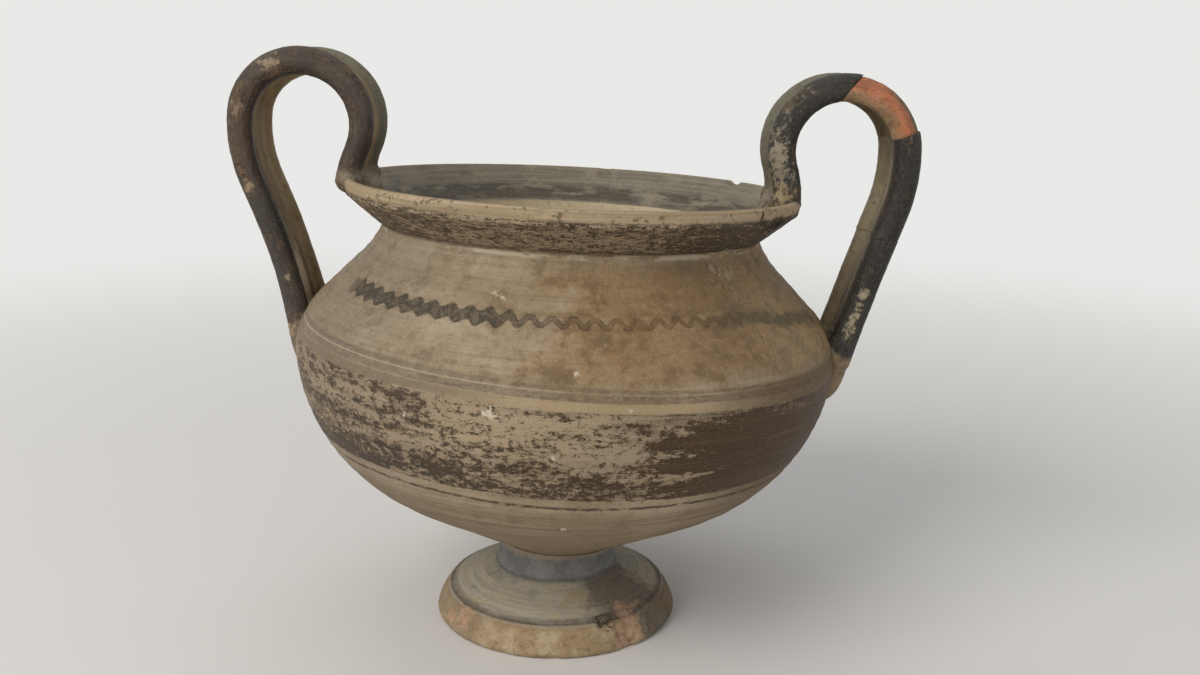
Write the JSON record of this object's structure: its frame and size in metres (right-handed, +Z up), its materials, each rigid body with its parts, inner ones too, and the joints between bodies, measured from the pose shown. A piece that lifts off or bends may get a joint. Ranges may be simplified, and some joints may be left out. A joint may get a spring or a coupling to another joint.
{
  "type": "two-handled footed cup",
  "caption": "Thrown clay cup with a rounded bowl, flaring lip, low stemmed foot and high-swung strap handles with rolled margins.",
  "frame": {"origin": "On the plane that the foot stands on, under the middle of the cup's overall box. The foot's own axis stands 4.3 mm to -X and 1.0 mm to -Y of it, because the bowl leans that much the other way.", "axes": "+Z up. +X runs from the whole left handle to the mended right handle, across the cup's longest extent. -Y is the side that the picture shows."},
  "size_m": [0.1806, 0.1469, 0.1585],
  "materials": {
    "bowl": "buff fired clay with worn grey-brown slip bands, satin",
    "foot": "buff fired clay with thin grey slip, worn to bare clay at the edge",
    "luting": "buff clay smeared by hand, matt",
    "left_handle": "dark grey-brown slip, worn to tan on the high spots",
    "right_handle": "dark grey slip, worn and mended",
    "crown_sherd": "bare orange clay where the slip has gone"
  },
  "bodies": {
    "root": {"foot": "foot", "bowl": "bowl", "right_rim_sherd": "bowl", "left_handle_web": "left_handle", "left_handle_front_margin": "left_handle", "left_handle_rear_margin": "left_handle", "left_rim_luting": "luting", "left_root_luting": "luting", "right_rim_luting": "luting", "right_root_luting": "luting", "right_stub_web": "right_handle", "right_stub_front_margin": "right_handle", "right_stub_rear_margin": "right_handle", "right_crown_web": "crown_sherd", "right_crown_front_margin": "crown_sherd", "right_crown_rear_margin": "crown_sherd", "right_upper_web": "right_handle", "right_upper_front_margin": "right_handle", "right_upper_rear_margin": "right_handle", "right_lower_web": "right_handle", "right_lower_front_margin": "right_handle", "right_lower_rear_margin": "right_handle"}
  },
  "joints": []
}
